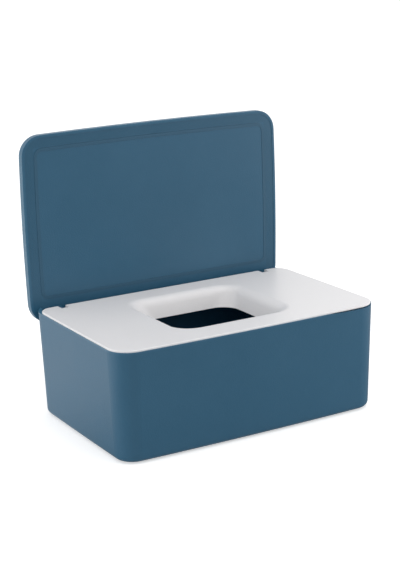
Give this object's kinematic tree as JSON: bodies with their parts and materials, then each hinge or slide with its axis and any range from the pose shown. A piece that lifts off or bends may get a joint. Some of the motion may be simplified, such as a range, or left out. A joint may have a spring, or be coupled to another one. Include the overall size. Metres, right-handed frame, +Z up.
{
  "type": "countertop wipes dispenser box",
  "caption": "Rounded countertop box with a lift-out white cover that has a basin and a dispensing hole, closed by a seal-lined lid hinged behind the cover.",
  "frame": {"origin": "on the surface that the dispenser stands on, under the middle of the box", "axes": "+X to the right of someone facing the front, +Y to the hinge side at the back, +Z up"},
  "size_m": [0.1926, 0.1314, 0.1844],
  "materials": {
    "box_plastic": "satin moulded slate-blue plastic",
    "cover_plastic": "satin moulded white plastic",
    "foot_rubber": "soft matte grey",
    "seal_rubber": "soft matte slate blue",
    "pin_steel": "drawn wire"
  },
  "bodies": {
    "box": {"box_shell": "box_plastic", "foot_front_left": "foot_rubber", "foot_front_right": "foot_rubber", "foot_rear_left": "foot_rubber", "foot_rear_right": "foot_rubber"},
    "cover": {"inner_cover": "cover_plastic", "cover_seal": "seal_rubber", "hinge_pin_left": "pin_steel", "hinge_pin_right": "pin_steel"},
    "lid": {"lid_shell": "box_plastic", "lid_liner": "box_plastic", "lid_seal": "seal_rubber"}
  },
  "joints": [
    {"name": "cover_lift", "type": "slide", "parent": "box", "child": "cover", "axis": [0, 0, 1], "range_m": [0, 0.06]},
    {"name": "lid_hinge", "type": "hinge", "parent": "cover", "child": "lid", "pos_m": [0, 0.0551, 0.066], "axis": [1, 0, 0], "range_deg": [0, 90]}
  ]
}
